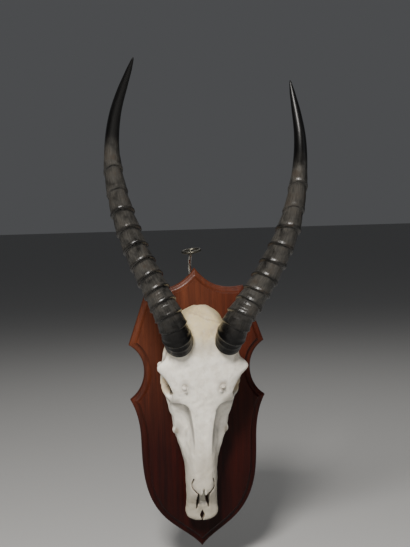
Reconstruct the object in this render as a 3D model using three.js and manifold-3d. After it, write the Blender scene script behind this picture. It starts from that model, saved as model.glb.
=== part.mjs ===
import * as THREE from 'three';
import { mergeVertices } from 'three/addons/utils/BufferGeometryUtils.js';
import Module from 'manifold-3d';

// A blesbok skull with ringed horns on a heraldic wooden shield, in millimetres.
// The origin is in the middle of the shield's flat back, which lies on the wall. +Z is up,
// +X is to the viewer's right and the forehead faces the viewer, towards -Y.

// Shield
const shieldHalfHeight = 198;
const shieldCornerHalfWidth = 95.5;
const shieldThickness = 20;
const shieldEdgeThickness = 12.5;
const grooveWidth = 6;
const grooveDepth = 6.6;
const grooveFoot = 158;

// Skull: s runs from the tip of the nose to the nape, v is the height over the chewing face
// of the teeth, towards the viewer, and x is the distance from the middle plane.
const skullLength = 300;
const skullOffsetX = -3;
const noseTipZ = -152;
const noseToothPlaneDepth = 30.4;
const skullTilt = THREE.MathUtils.degToRad(3.5);

// Horn sheaths
const hornBaseHalfWidth = 18.5;
const hornBaseHalfDepth = 22.5;
const hornSides = 12;
const hornRingHeight = 3.2;
const hornRingLean = 13;
const sheathGap = 0.3;

// Hanging eye
const wireRadius = 1.9;
const ringRadius = 12.3;
const ringMiddleX = -4.2;
const shankX = -6.4;

const wasm = await Module();
wasm.setup();

function toSolid(geometry) {
  const plain = geometry.clone();
  plain.deleteAttribute('normal');
  plain.deleteAttribute('uv');
  const merged = mergeVertices(plain, 1e-4);
  return new wasm.Manifold(new wasm.Mesh({
    numProp: 3,
    vertProperties: new Float32Array(merged.attributes.position.array),
    triVerts: new Uint32Array(merged.index.array),
  }));
}

function toGeometry(solid) {
  const mesh = solid.getMesh();
  const geometry = new THREE.BufferGeometry();
  geometry.setAttribute('position', new THREE.BufferAttribute(new Float32Array(mesh.vertProperties), 3));
  geometry.setIndex(new THREE.BufferAttribute(new Uint32Array(mesh.triVerts), 1));
  geometry.computeVertexNormals();
  return geometry;
}

function joinAll(geometries) {
  return geometries.map(toSolid).reduce((whole, piece) => whole.add(piece));
}

function cutAll(solid, geometries) {
  return geometries.map(toSolid).reduce((whole, piece) => whole.subtract(piece), solid);
}

// The faces between rings of equal point counts, each ring turning right-handed about the way on
function facesBetweenRings(ringCount, sides) {
  const index = [];
  for (let r = 0; r < ringCount - 1; r += 1) {
    for (let i = 0; i < sides; i += 1) {
      const a = r * sides + i;
      const b = r * sides + ((i + 1) % sides);
      index.push(a, b, b + sides, a, b + sides, a + sides);
    }
  }
  return index;
}

// A closed skin over rings, with a fan over the first and the last ring
function skinOverRings(rings) {
  const sides = rings[0].length;
  const points = rings.flat();
  const index = facesBetweenRings(rings.length, sides);
  const middleOf = (ring) => ring.reduce((sum, p) => sum.add(p), new THREE.Vector3()).divideScalar(sides);
  const first = points.push(middleOf(rings[0])) - 1;
  const last = points.push(middleOf(rings[rings.length - 1])) - 1;
  const lastRing = (rings.length - 1) * sides;
  for (let i = 0; i < sides; i += 1) {
    const next = (i + 1) % sides;
    index.push(first, next, i);
    index.push(last, lastRing + i, lastRing + next);
  }
  const geometry = new THREE.BufferGeometry().setFromPoints(points);
  geometry.setIndex(index);
  return geometry;
}

// A ring round a curve: the front axis leans towards the viewer, the side axis lies across.
// A lean carries the front of the ring on along the curve and its back the other way.
function ringRound(curve, t, halfWidth, halfDepth, sides, swell = () => 0, lean = 0) {
  const middle = curve.getPointAt(t);
  const along = curve.getTangentAt(t);
  const across = new THREE.Vector3().crossVectors(along, new THREE.Vector3(0, -1, 0)).normalize();
  const front = new THREE.Vector3().crossVectors(across, along);
  const ring = [];
  for (let i = 0; i < sides; i += 1) {
    const angle = (2 * Math.PI * i) / sides;
    const extra = swell(angle);
    ring.push(middle.clone()
      .addScaledVector(across, (halfWidth + extra) * Math.cos(angle))
      .addScaledVector(front, -(halfDepth + extra) * Math.sin(angle))
      .addScaledVector(along, -lean * Math.sin(angle)));
  }
  return ring;
}

// A rod of changing thickness along a smooth curve
function rod(points, halfWidths, sides = 8, steps = 8, flatness = 1) {
  const curve = new THREE.CatmullRomCurve3(points);
  const rings = [];
  for (let i = 0; i <= steps; i += 1) {
    const place = (i / steps) * (halfWidths.length - 1);
    const low = Math.min(Math.floor(place), halfWidths.length - 2);
    const halfWidth = THREE.MathUtils.lerp(halfWidths[low], halfWidths[low + 1], place - low);
    rings.push(ringRound(curve, i / steps, halfWidth, halfWidth * flatness, sides));
  }
  return skinOverRings(rings);
}

function ellipsoid(centre, radii, around = 8, down = 6) {
  return new THREE.SphereGeometry(1, around, down).scale(...radii).translate(...centre);
}

// The same shape on the other side of the middle plane, with its triangles turned back outwards
function mirrored(geometry) {
  const copy = geometry.clone().scale(-1, 1, 1);
  const corners = copy.attributes.position;
  for (let i = 0; i < corners.count; i += 3) {
    const [x, y, z] = [corners.getX(i), corners.getY(i), corners.getZ(i)];
    corners.setXYZ(i, corners.getX(i + 2), corners.getY(i + 2), corners.getZ(i + 2));
    corners.setXYZ(i + 2, x, y, z);
  }
  return copy;
}

function block(centre, size) {
  return new THREE.BoxGeometry(...size).translate(...centre);
}

// Shield: half of the outline from the top point to the bottom point
function shieldHalfOutline() {
  const outline = new THREE.Path();
  outline.moveTo(0, shieldHalfHeight);
  outline.quadraticCurveTo(25, 162.5, 68, 171.5);
  outline.lineTo(shieldCornerHalfWidth, 92.5);
  outline.bezierCurveTo(68, 76, 68, 34, shieldCornerHalfWidth, 15);
  outline.quadraticCurveTo(83, -8, 82, -42);
  outline.bezierCurveTo(81, -78, 82, -112, 62, -142);
  outline.bezierCurveTo(45, -168, 16, -178, 0, -shieldHalfHeight);
  return outline.getPoints(6);
}

function shieldOutline() {
  const right = shieldHalfOutline();
  const left = right.slice(1, -1).reverse().map((p) => new THREE.Vector2(-p.x, p.y));
  return [...right, ...left].reverse();
}

// The outline drawn inwards by one width all round, with mitred corners
function insetOutline(outline, inset) {
  const count = outline.length;
  return outline.map((point, i) => {
    const before = point.clone().sub(outline[(i + count - 1) % count]).normalize();
    const after = outline[(i + 1) % count].clone().sub(point).normalize();
    const inwards = new THREE.Vector2(-before.y - after.y, before.x + after.x).normalize();
    const stretch = 1 / Math.max(0.35, before.x * inwards.y - before.y * inwards.x);
    return point.clone().addScaledVector(inwards, inset * stretch);
  });
}

function shieldRings() {
  const mouldingSteps = [
    [0, 0], [0, shieldEdgeThickness], [1.2, 13.6], [4.6, 14.2], [7.6, 15.8], [9.2, 18.2], [10, shieldThickness],
  ];
  const outline = shieldOutline();
  return mouldingSteps.map(([inset, height]) => insetOutline(outline, inset)
    .map((p) => new THREE.Vector3(p.x, -height, p.y)));
}

// The moulded edge is a skin from ring to ring, the flat faces are triangulated outlines
function shieldSolid() {
  const rings = shieldRings();
  const sides = rings[0].length;
  const index = facesBetweenRings(rings.length, sides);
  const flatFace = (ring) => THREE.ShapeUtils.triangulateShape(ring.map((p) => new THREE.Vector2(p.x, p.z)), []);
  const front = (rings.length - 1) * sides;
  flatFace(rings[0]).forEach(([a, b, c]) => index.push(a, c, b));
  flatFace(rings[rings.length - 1]).forEach(([a, b, c]) => index.push(front + a, front + b, front + c));
  const geometry = new THREE.BufferGeometry().setFromPoints(rings.flat());
  geometry.setIndex(index);
  return toSolid(geometry);
}

function shieldGeometry() {
  const grooveLength = shieldHalfHeight - grooveFoot + 20;
  const groove = block(
    [shankX, -grooveDepth / 2 + 1, grooveFoot + grooveLength / 2],
    [grooveWidth, grooveDepth + 2, grooveLength],
  );
  return toGeometry(cutAll(shieldSolid(), [groove]));
}

// Skull
function onSkull(x, s, v) {
  return new THREE.Vector3(x, -v, s);
}

// Turns an outline drawn in x and s, and pushed out along the third axis, to stand up along v
const upright = new THREE.Matrix4().makeBasis(
  new THREE.Vector3(1, 0, 0), new THREE.Vector3(0, 0, 1), new THREE.Vector3(0, -1, 0));

// Cross-sections of the face and the braincase: s, then x and v from the top middle to the
// bottom middle. The step beside the nasal bridge is the hollow in front of the eye.
const skullSections = [
  [1, [[0, 22], [5, 22], [9, 20], [9.5, 17], [6, 14], [0, 14]]],
  [5, [[0, 24], [10, 24], [16.5, 21], [17.5, 17], [12, 13], [0, 13]]],
  [12, [[0, 25], [12, 26], [20.5, 22], [22, 17], [17, 12.5], [0, 12.5]]],
  [26, [[0, 33], [10, 33], [19.5, 27], [21.5, 18], [18, 12], [0, 12]]],
  [42, [[0, 51], [9, 49.5], [17.5, 40], [21, 25], [18, 13], [0, 13]]],
  [62, [[0, 57.5], [11, 55.5], [18.5, 45], [21.5, 28], [19, 14], [0, 15]]],
  [84, [[0, 63.5], [12, 62], [19, 50], [22, 32], [21, 15], [0, 19]]],
  [98, [[0, 68], [12.5, 66], [20, 53], [25.5, 34], [24, 15], [0, 21]]],
  [112, [[0, 72], [12, 71], [18, 59], [30, 36], [27, 15], [0, 22]]],
  [130, [[0, 77], [12.5, 76], [17.5, 65], [36, 39], [30, 15], [0, 23]]],
  [148, [[0, 83], [15, 81.5], [19, 68], [38, 47], [32, 16], [0, 24]]],
  [164, [[0, 88.5], [18.5, 87], [23, 74], [42, 56], [33, 20], [0, 25]]],
  [169, [[0, 90.5], [23, 88.5], [28, 77], [43, 60], [31, 23], [0, 26]]],
  [172, [[0, 91.5], [27, 90], [38, 83], [42.5, 64], [29.5, 25.5], [0, 26.6]]],
  [176, [[0, 93], [27, 91], [38, 84], [42, 66], [28, 28], [0, 27]]],
  [192, [[0, 99.5], [33, 97], [43, 90], [35, 66], [22, 34], [0, 29]]],
  [206, [[0, 105], [40, 101.5], [51, 93], [33, 70], [20, 38], [0, 30]]],
  [219, [[0, 109.5], [46, 104.5], [60, 96], [34, 72], [20, 40], [0, 29]]],
  [232, [[0, 113.5], [42, 109], [49, 99], [32, 74], [21, 41], [0, 28]]],
  [248, [[0, 116], [36, 112], [38, 98], [32, 74], [23, 42], [0, 28]]],
  [264, [[0, 112], [27, 107], [33, 90], [32, 68], [26, 40], [0, 29]]],
  [280, [[0, 103], [21, 98], [29, 80], [31, 60], [26, 38], [0, 31]]],
  [291, [[0, 95], [14, 92], [22, 76], [24, 56], [20, 40], [0, 37]]],
  [skullLength, [[0, 88], [6, 86], [9, 79], [9, 71], [6, 66], [0, 64]]],
];

function sectionRing(s, halfOutline) {
  const left = halfOutline.slice(1, -1).reverse().map(([x, v]) => [-x, v]);
  const corners = [...halfOutline, ...left].map(([x, v]) => onSkull(x, s, v));
  const outline = new THREE.CatmullRomCurve3(corners, true);
  return Array.from({ length: 20 }, (unused, i) => outline.getPoint(i / 20));
}

// The skin also runs smoothly from section to section
function faceAndBraincase() {
  const rings = skullSections.map(([s, halfOutline]) => sectionRing(s, halfOutline));
  const columns = rings[0].map((unused, i) => new THREE.CatmullRomCurve3(rings.map((ring) => ring[i])));
  const steps = Math.round(1.15 * rings.length);
  const smooth = [];
  for (let step = 0; step <= steps; step += 1) {
    smooth.push(columns.map((column) => column.getPoint(step / steps)));
  }
  return skinOverRings(smooth);
}

function eyeSocketRim(side) {
  const rim = new THREE.TorusGeometry(19.6, 3.3, 6, 14);
  rim.lookAt(onSkull(side * 0.86, -0.22, 0.46));
  return rim.translate(...onSkull(side * 42.5, 195.5, 74));
}

function eyeSocketHollow(side) {
  return ellipsoid(onSkull(side * 48, 195.5, 72.5), [20, 18, 17.5], 12, 8);
}

function cheekArch(side) {
  const route = [[34, 160, 46], [43, 178, 53], [47, 197, 55], [47, 216, 57], [45, 240, 60], [34, 266, 62]];
  return rod(route.map(([x, s, v]) => onSkull(side * x, s, v)), [7, 4.8, 5, 5.4, 4.2, 5], 6, 8, 1.2);
}

function barBehindEye(side) {
  const route = [[54, 220, 94], [55, 223, 76], [48, 220, 58]];
  return rod(route.map(([x, s, v]) => onSkull(side * x, s, v)), [5.5, 3.8, 4], 6, 4);
}

function cheekTubercle(side) {
  return ellipsoid(onSkull(side * 35, 130, 39), [3.6, 4.6, 7]);
}

function browKnob(side) {
  return ellipsoid(onSkull(side * 25.2, 190.5, 96.5), [3.4, 4, 6], 6, 4);
}

function earBulla(side) {
  return ellipsoid(onSkull(side * 21, 268, 24), [8, 12, 10], 8, 5);
}

function earTube(side) {
  return rod([onSkull(side * 24, 272, 36), onSkull(side * 38, 275, 44)], [5.5, 4.5], 6, 2);
}

function jugularProcess(side) {
  const route = [[24, 278, 42], [26, 279, 25], [24, 277, 8]];
  return rod(route.map(([x, s, v]) => onSkull(side * x, s, v)), [7, 5, 2], 6, 3);
}

function neckCondyle(side) {
  return ellipsoid(onSkull(side * 11, 284, 41), [8, 8, 9], 8, 5);
}

function palateWing(side) {
  return ellipsoid(onSkull(side * 11.5, 195, 25), [2.4, 15, 28], 8, 6);
}

// Six cheek teeth on each side, longer and wider towards the back. Each has two lobes, so the
// row is one outline with a deep notch between teeth and a shallow one between lobes.
function cheekTeeth(side) {
  const lengths = [9, 10.5, 12, 14.5, 16.5, 17.5];
  const crownHeight = 22;
  const rowFront = 84;
  const outer = [];
  const inner = [];
  let start = rowFront;
  lengths.forEach((length, i) => {
    const halfWidth = 4.2 + 0.4 * i;
    const middleX = 17.5 + 1.9 * i;
    [[0.04, -1.5], [0.24, 0], [0.5, -1], [0.78, 0]].forEach(([part, out]) => {
      const s = start + part * length;
      const x = middleX + 1.9 * (part - 0.5);
      outer.push(new THREE.Vector2(x + halfWidth + out, s));
      inner.push(new THREE.Vector2(x - halfWidth - out, s));
    });
    start += length;
  });
  const outline = new THREE.Shape([...outer, ...inner.reverse()]);
  const row = new THREE.ExtrudeGeometry(outline, { depth: crownHeight, bevelEnabled: false });
  row.applyMatrix4(upright);
  return side > 0 ? row : mirrored(row);
}

function nuchalCrest() {
  const route = [[-23, 273, 62], [-15, 287.5, 81], [0, 294.5, 88], [15, 287.5, 81], [23, 273, 62]];
  return rod(route.map(([x, s, v]) => onSkull(x, s, v)), [2, 2.6, 3, 2.6, 2], 6, 10);
}

function nasalTip(side) {
  const route = [[5.5, 68, 56], [5.4, 54, 52.5], [3.5, 42, 49.2]];
  return rod(route.map(([x, s, v]) => onSkull(side * x, s, v)), [5.5, 5, 2.2], 6, 3, 0.5);
}

// An upright shaft through the bone: its outline in x and s, and the heights it runs between
function shaft(corners, low, high) {
  const outline = new THREE.Shape(corners.map(([x, s]) => new THREE.Vector2(x, s)));
  const column = new THREE.ExtrudeGeometry(outline, { depth: high - low, bevelEnabled: false });
  return column.applyMatrix4(upright).translate(0, -low, 0);
}

// Openings of the nose: the wide one under the nasal tips, two slots, the notch between the
// tips and the hole in front, which is open to the end of the nose
function noseOpenings() {
  const slot = shaft([[5.4, 42.5], [4.4, 36], [5.9, 27], [8.2, 19], [8.9, 27], [8.2, 37]], 6, 56);
  return [
    ellipsoid(onSkull(0, 36, 37), [12, 19, 10], 12, 8),
    slot,
    mirrored(slot),
    shaft([[0, 50.5], [-2.2, 39], [2.2, 39]], 43, 60),
    shaft([[0, 16.5], [-3.1, 9.2], [-0.7, 3.6], [-0.7, -5], [0.7, -5], [0.7, 3.6], [3.1, 9.2]], 6, 34),
  ];
}

// The open seam on each side of the nasal tips
function nasalSeam(side) {
  const route = [[13, 64, 54], [15.5, 55, 49], [11, 47, 49], [4.8, 41, 48]];
  return rod(route.map(([x, s, v]) => onSkull(side * x, s, v)), [0.8, 0.8, 0.8, 0.8], 4, 5, 6);
}

function backOpenings() {
  return [
    ellipsoid(onSkull(0, 302, 50), [8, 9, 22]),
    ellipsoid(onSkull(0, 194, 27), [8.5, 13, 26]),
  ];
}

// The bony stub under a sheath, in the object's frame
function hornPedicle(horn) {
  const curve = hornCurve(horn.route);
  const foot = curve.getPointAt(0);
  const root = foot.clone().addScaledVector(curve.getTangentAt(0), -24);
  const stub = new THREE.LineCurve3(root, foot);
  const rings = [0, 1].map((t) => {
    const spread = 1.12 - 0.16 * t;
    return ringRound(stub, t, hornBaseHalfWidth * spread, hornBaseHalfDepth * spread, hornSides);
  });
  return skinOverRings(rings);
}

function skullGeometry(skullPlace) {
  const bothSides = [-1, 1];
  const seenFromSkull = skullPlace.clone().invert();
  const grown = [
    faceAndBraincase(),
    nuchalCrest(),
    ...bothSides.flatMap((side) => [
      eyeSocketRim(side),
      cheekArch(side),
      barBehindEye(side),
      cheekTubercle(side),
      browKnob(side),
      earBulla(side),
      earTube(side),
      jugularProcess(side),
      neckCondyle(side),
      palateWing(side),
      cheekTeeth(side),
      nasalTip(side),
    ]),
    ...horns.map((horn) => hornPedicle(horn).applyMatrix4(seenFromSkull)),
  ];
  const hollows = [
    ...bothSides.flatMap((side) => [eyeSocketHollow(side), nasalSeam(side)]),
    ...noseOpenings(),
    ...backOpenings(),
    ...horns.map((horn) => sheathSeat(horn).applyMatrix4(seenFromSkull)),
  ];
  return toGeometry(cutAll(joinAll(grown), hollows));
}

// Horns: the middle line of each sheath, from the brow to the tip, and the places of its rings
const horns = [
  {
    name: 'horn_left',
    route: [
      [-35, -124, 105], [-39, -137, 118], [-48, -147, 142], [-64, -155, 177], [-87, -168, 227],
      [-106, -186, 283], [-115, -205, 339], [-111, -229, 389], [-89, -266, 451],
    ],
    ringPlaces: ringPlaces(12, 0.047, 0.633),
  },
  {
    name: 'horn_right',
    route: [
      [29, -124, 105], [33, -137, 118], [42, -148, 139], [57, -158, 163], [80, -177, 205],
      [99, -197, 253], [108, -214, 304], [110, -222, 359], [101, -215, 430],
    ],
    ringPlaces: ringPlaces(11, 0.050, 0.636),
  },
];

function hornCurve(route) {
  return new THREE.CatmullRomCurve3(route.map((p) => new THREE.Vector3(...p)));
}

// Width of the sheath along its length, as a part of the width at its base
const sheathTaper = [
  [0, 1], [0.08, 0.95], [0.2, 0.86], [0.35, 0.79], [0.48, 0.71], [0.6, 0.6], [0.7, 0.49], [0.8, 0.39],
  [0.9, 0.28], [0.96, 0.17], [0.99, 0.08], [1, 0.03],
];

function taperAt(t) {
  const high = Math.max(1, sheathTaper.findIndex(([place]) => place >= t));
  const [t0, w0] = sheathTaper[high - 1];
  const [t1, w1] = sheathTaper[high];
  return THREE.MathUtils.lerp(w0, w1, (t - t0) / (t1 - t0));
}

// The rings stand closer together towards the base: places along the sheath, 0 to 1
function ringPlaces(count, first, last) {
  return Array.from({ length: count }, (unused, i) => {
    const step = i / (count - 1);
    return first + (last - first) * (0.64 * step + 0.36 * step * step);
  });
}

// Each ring has a sharp lip on its base side and fades towards the tip
function hornRings(route, places, clearance = 0) {
  const curve = hornCurve(route);
  const rings = [];
  const addRing = (t, ridge) => {
    const halfWidth = hornBaseHalfWidth * taperAt(t);
    const halfDepth = halfWidth * THREE.MathUtils.lerp(hornBaseHalfDepth / hornBaseHalfWidth, 1.05, t);
    const swell = (angle) => clearance + ridge * (0.75 - 0.35 * Math.sin(angle));
    const { smoothstep } = THREE.MathUtils;
    const lean = hornRingLean * smoothstep(t, 0.02, 0.13) * (1 - smoothstep(t, 0.7, 0.95));
    rings.push(ringRound(curve, t, halfWidth, halfDepth, hornSides, swell, lean));
  };
  addRing(0, -0.8);
  addRing(0.006, 0);
  addRing(0.03, 0);
  places.forEach((place, i) => {
    const gap = (places[i + 1] ?? place + 0.06) - place;
    const ridge = hornRingHeight * Math.min(1, 0.7 + 0.1 * i) * (i > places.length - 3 ? 0.6 : 1);
    addRing(place - 0.14 * gap, 0);
    addRing(place, ridge);
    addRing(place + 0.22 * gap, 0.75 * ridge);
    addRing(place + 0.55 * gap, 0.25 * ridge);
  });
  const smoothFrom = places[places.length - 1] + 0.06;
  const tipSteps = 8;
  for (let i = 0; i <= tipSteps; i += 1) {
    addRing(smoothFrom + (1 - smoothFrom) * Math.sin((Math.PI / 2) * (i / tipSteps)), 0);
  }
  return rings;
}

function hornGeometry(horn) {
  return skinOverRings(hornRings(horn.route, horn.ringPlaces));
}

// The room that the foot of a sheath takes in the bone, a little wider than the sheath
function sheathSeat(horn) {
  const rings = hornRings(horn.route, horn.ringPlaces, sheathGap).slice(0, 8);
  const along = hornCurve(horn.route).getTangentAt(0);
  const underFoot = rings[0].map((p) => p.clone().addScaledVector(along, -sheathGap));
  return skinOverRings([underFoot, ...rings]);
}

// Hanging eye: a wire that rises from a groove behind the shield's top point, leans forward
// and carries a ring that lies back towards the wall
function hangingEyeGeometry() {
  const ringMiddle = new THREE.Vector3(ringMiddleX, -14.6, 222);
  const ringFrontY = ringMiddle.y - ringRadius;
  const ring = new THREE.TorusGeometry(ringRadius, wireRadius, 6, 18)
    .rotateX(THREE.MathUtils.degToRad(8))
    .rotateY(THREE.MathUtils.degToRad(-8))
    .translate(...ringMiddle);
  const shankRoute = [
    [shankX, -3, grooveFoot + 3], [shankX, -3, 182], [shankX, -4.8, 199], [shankX, -13, 211],
    [shankX, ringFrontY + 1.5, 218], [shankX, ringFrontY, 224],
  ];
  const shank = rod(shankRoute.map((p) => new THREE.Vector3(...p)), [2.5, 2.5, 2.5, 2.5, 2.5, 1.7], 6, 12);
  return toGeometry(joinAll([ring, shank]));
}

// Assembly
function addPiece(group, name, geometry, colour, roughness, metalness) {
  const material = new THREE.MeshStandardMaterial({ color: colour, roughness, metalness });
  const mesh = new THREE.Mesh(geometry, material);
  mesh.name = name;
  group.add(mesh);
  return mesh;
}

function buildTrophy() {
  const trophy = new THREE.Group();
  const skullPlace = new THREE.Matrix4().makeRotationX(-skullTilt)
    .setPosition(skullOffsetX, -noseToothPlaneDepth, noseTipZ);
  addPiece(trophy, 'plaque', shieldGeometry(), 0x6b2f22, 0.55, 0);
  const skull = addPiece(trophy, 'skull', skullGeometry(skullPlace), 0xe9e4d6, 0.6, 0);
  skull.applyMatrix4(skullPlace);
  horns.forEach((horn) => addPiece(trophy, horn.name, hornGeometry(horn), 0x25221f, 0.45, 0));
  addPiece(trophy, 'hanging_eye', hangingEyeGeometry(), 0xb9b9b4, 0.3, 1);
  return trophy;
}

export default buildTrophy();
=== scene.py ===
import math

import bmesh
import bpy
import numpy as np
from mathutils import Matrix, Vector


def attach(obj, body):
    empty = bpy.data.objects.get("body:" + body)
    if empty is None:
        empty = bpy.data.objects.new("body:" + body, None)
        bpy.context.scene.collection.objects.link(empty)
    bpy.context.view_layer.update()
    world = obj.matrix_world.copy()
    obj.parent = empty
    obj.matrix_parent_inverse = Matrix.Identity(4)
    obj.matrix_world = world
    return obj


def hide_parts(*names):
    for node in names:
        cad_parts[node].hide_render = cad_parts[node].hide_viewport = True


# A blesbok skull with ringed horns on a heraldic wooden shield. Shapes are worked out in
# millimetres in the frame's axes and turned into metres as each mesh is made.
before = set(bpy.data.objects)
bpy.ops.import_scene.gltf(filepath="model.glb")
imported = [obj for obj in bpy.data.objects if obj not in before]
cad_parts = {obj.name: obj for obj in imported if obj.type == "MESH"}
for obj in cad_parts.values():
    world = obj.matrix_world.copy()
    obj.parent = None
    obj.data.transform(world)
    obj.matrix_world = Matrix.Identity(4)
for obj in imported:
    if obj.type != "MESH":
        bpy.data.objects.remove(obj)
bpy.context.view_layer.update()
metresPerMillimetre = 0.001


# Curves and meshes
def smoothCurve(points, places, closed=False):
    points = np.asarray(points, float)
    count = len(points)
    if closed:
        padded = np.vstack([points[-1:], points, points[:2]])
        last = count
    else:
        before = 2 * points[0] - points[1]
        after = 2 * points[-1] - points[-2]
        padded = np.vstack([before, points, after])
        last = count - 1
    scaled = np.clip(np.asarray(places, float), 0, 1) * last
    low = np.minimum(scaled.astype(int), last - 1)
    part = (scaled - low)[:, None]
    p0, p1, p2, p3 = (padded[low + step] for step in range(4))
    gap0, gap1, gap2 = (
        np.sqrt(np.linalg.norm(b - a, axis=1))[:, None] + 1e-9
        for a, b in ((p0, p1), (p1, p2), (p2, p3))
    )
    slope1 = ((p1 - p0) / gap0 - (p2 - p0) / (gap0 + gap1) + (p2 - p1) / gap1) * gap1
    slope2 = ((p2 - p1) / gap1 - (p3 - p1) / (gap1 + gap2) + (p3 - p2) / gap2) * gap1
    square = -3 * p1 + 3 * p2 - 2 * slope1 - slope2
    cube = 2 * p1 - 2 * p2 + slope1 + slope2
    return p1 + slope1 * part + square * part**2 + cube * part**3


# Places on a curve for even parts of its length, and the length itself
def evenPlaces(points, parts):
    fine = np.linspace(0, 1, 401)
    route = smoothCurve(points, fine)
    lengths = np.concatenate([[0], np.cumsum(np.linalg.norm(np.diff(route, axis=0), axis=1))])
    return np.interp(np.asarray(parts, float), lengths / lengths[-1], fine), lengths[-1]


def unit(vectors):
    return vectors / np.linalg.norm(vectors, axis=-1, keepdims=True)


def ease(value, low, high):
    part = np.clip((value - low) / (high - low), 0, 1)
    return part * part * (3 - 2 * part)


# A factor that rounds off the last part of a tube, down to the root of least
def roundedEnd(places, part, least):
    past = np.clip((places - (1 - part)) / part, 0, 1)
    return np.sqrt(np.clip(1 - past**2, least, 1))


def makePiece(name, points, faces, sharpAngle=None):
    mesh = bpy.data.meshes.new(name)
    mesh.from_pydata((np.asarray(points) * metresPerMillimetre).tolist(), [], faces)
    mesh.polygons.foreach_set("use_smooth", np.ones(len(mesh.polygons), bool))
    if sharpAngle is not None:
        mesh.set_sharp_from_angle(angle=math.radians(sharpAngle))
    mesh.update()
    piece = bpy.data.objects.new(name, mesh)
    bpy.context.scene.collection.objects.link(piece)
    return piece


def addAttribute(piece, name, values):
    layer = piece.data.attributes.new(name, "FLOAT", "POINT")
    layer.data.foreach_set("value", np.asarray(values, np.float32))


def ringFaces(ringCount, sides):
    rings, columns = np.meshgrid(np.arange(ringCount - 1), np.arange(sides), indexing="ij")
    a = (rings * sides + columns).ravel()
    b = (rings * sides + (columns + 1) % sides).ravel()
    return np.stack([a, b, b + sides, a + sides], axis=1).tolist()


def closedFaces(ringCount, sides):
    last = (ringCount - 1) * sides
    caps = [list(range(sides - 1, -1, -1)), [last + i for i in range(sides)]]
    return ringFaces(ringCount, sides) + caps


def turnFacesOut(piece, mergeDistance=None):
    mesh = bmesh.new()
    mesh.from_mesh(piece.data)
    if mergeDistance is not None:
        bmesh.ops.remove_doubles(mesh, verts=mesh.verts, dist=mergeDistance)
    bmesh.ops.recalc_face_normals(mesh, faces=mesh.faces)
    mesh.to_mesh(piece.data)
    mesh.free()


# The middle of a tube with its three directions: along it, across it and to its front
def frameAlong(points, places):
    step = 1e-4
    middle = smoothCurve(points, places)
    along = unit(smoothCurve(points, places + step) - smoothCurve(points, places - step))
    across = unit(np.cross(along, [0, -1, 0]))
    front = np.cross(across, along)
    return middle, along, across, front


# Shader nodes: a socket that can be used in sums
class Shade:
    def __init__(self, tree, socket=None):
        self.tree = tree
        self.socket = socket

    def make(self, kind, settings=None, inputs=None, output=0):
        node = self.tree.nodes.new(kind)
        for name, value in (settings or {}).items():
            setattr(node, name, value)
        for key, value in (inputs or {}).items():
            self.plug(node.inputs[key], value)
        return Shade(self.tree, node.outputs[output] if len(node.outputs) else None)

    def plug(self, socket, value):
        if isinstance(value, Shade):
            self.tree.links.new(value.socket, socket)
        else:
            socket.default_value = value

    def maths(self, operation, *values):
        return self.make("ShaderNodeMath", {"operation": operation}, dict(enumerate(values)))

    def __add__(self, other):
        return self.maths("ADD", self, other)

    def __radd__(self, other):
        return self.maths("ADD", other, self)

    def __sub__(self, other):
        return self.maths("SUBTRACT", self, other)

    def __rsub__(self, other):
        return self.maths("SUBTRACT", other, self)

    def __mul__(self, other):
        return self.maths("MULTIPLY", self, other)

    def __rmul__(self, other):
        return self.maths("MULTIPLY", other, self)

    def __pow__(self, other):
        return self.maths("POWER", self, other)

    def __rpow__(self, other):
        return self.maths("POWER", other, self)

    def size(self):
        return self.maths("ABSOLUTE", self)

    def sine(self):
        return self.maths("SINE", self)

    def cosine(self):
        return self.maths("COSINE", self)

    def most(self, other):
        return self.maths("MAXIMUM", self, other)

    def least(self, other):
        return self.maths("MINIMUM", self, other)

    def ease(self, low, high, start=0.0, end=1.0):
        settings = {"interpolation_type": "SMOOTHSTEP"}
        inputs = {0: self, 1: low, 2: high, 3: start, 4: end}
        return self.make("ShaderNodeMapRange", settings, inputs)

    def part(self, axis):
        return self.make("ShaderNodeSeparateXYZ", None, {0: self}, "XYZ".index(axis))

    def scaled(self, sizes):
        return self.make("ShaderNodeVectorMath", {"operation": "MULTIPLY"}, {0: self, 1: sizes})

    # Inputs 6 and 7 and output 2 of a Mix node are its colours
    def mix(self, first, second):
        return self.make("ShaderNodeMix", {"data_type": "RGBA"}, {0: self, 6: first, 7: second}, 2)

    def noise(self, scale, detail=3.0, roughness=0.5, distortion=0.0):
        inputs = {
            "Vector": self,
            "Scale": scale,
            "Detail": detail,
            "Roughness": roughness,
            "Distortion": distortion,
        }
        return self.make("ShaderNodeTexNoise", None, inputs)

    def cells(self, scale):
        return self.make("ShaderNodeTexVoronoi", None, {"Vector": self, "Scale": scale})

    def bump(self, strength, depth):
        return self.make("ShaderNodeBump", None, {"Height": self, "Strength": strength, "Distance": depth})


def opaque(tint):
    return (*tint, 1.0)


def newMaterial(name):
    material = bpy.data.materials.new(name)
    material.use_nodes = True
    material.node_tree.nodes.clear()
    return material, Shade(material.node_tree)


def finishMaterial(shade, values):
    surface = shade.make("ShaderNodeBsdfPrincipled", None, values)
    shade.make("ShaderNodeOutputMaterial", None, {"Surface": surface})


def objectPlace(shade):
    return shade.make("ShaderNodeTexCoord", output=3)  # the object coordinates, in metres


def attribute(shade, name):
    return shade.make("ShaderNodeAttribute", {"attribute_name": name}, output=2)  # its single number


def place(piece, material, node, slotName):
    piece.data.materials.append(material)
    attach(piece, "root")
    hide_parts(node)
    print("made", piece.name, len(piece.data.polygons), "faces")


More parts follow.
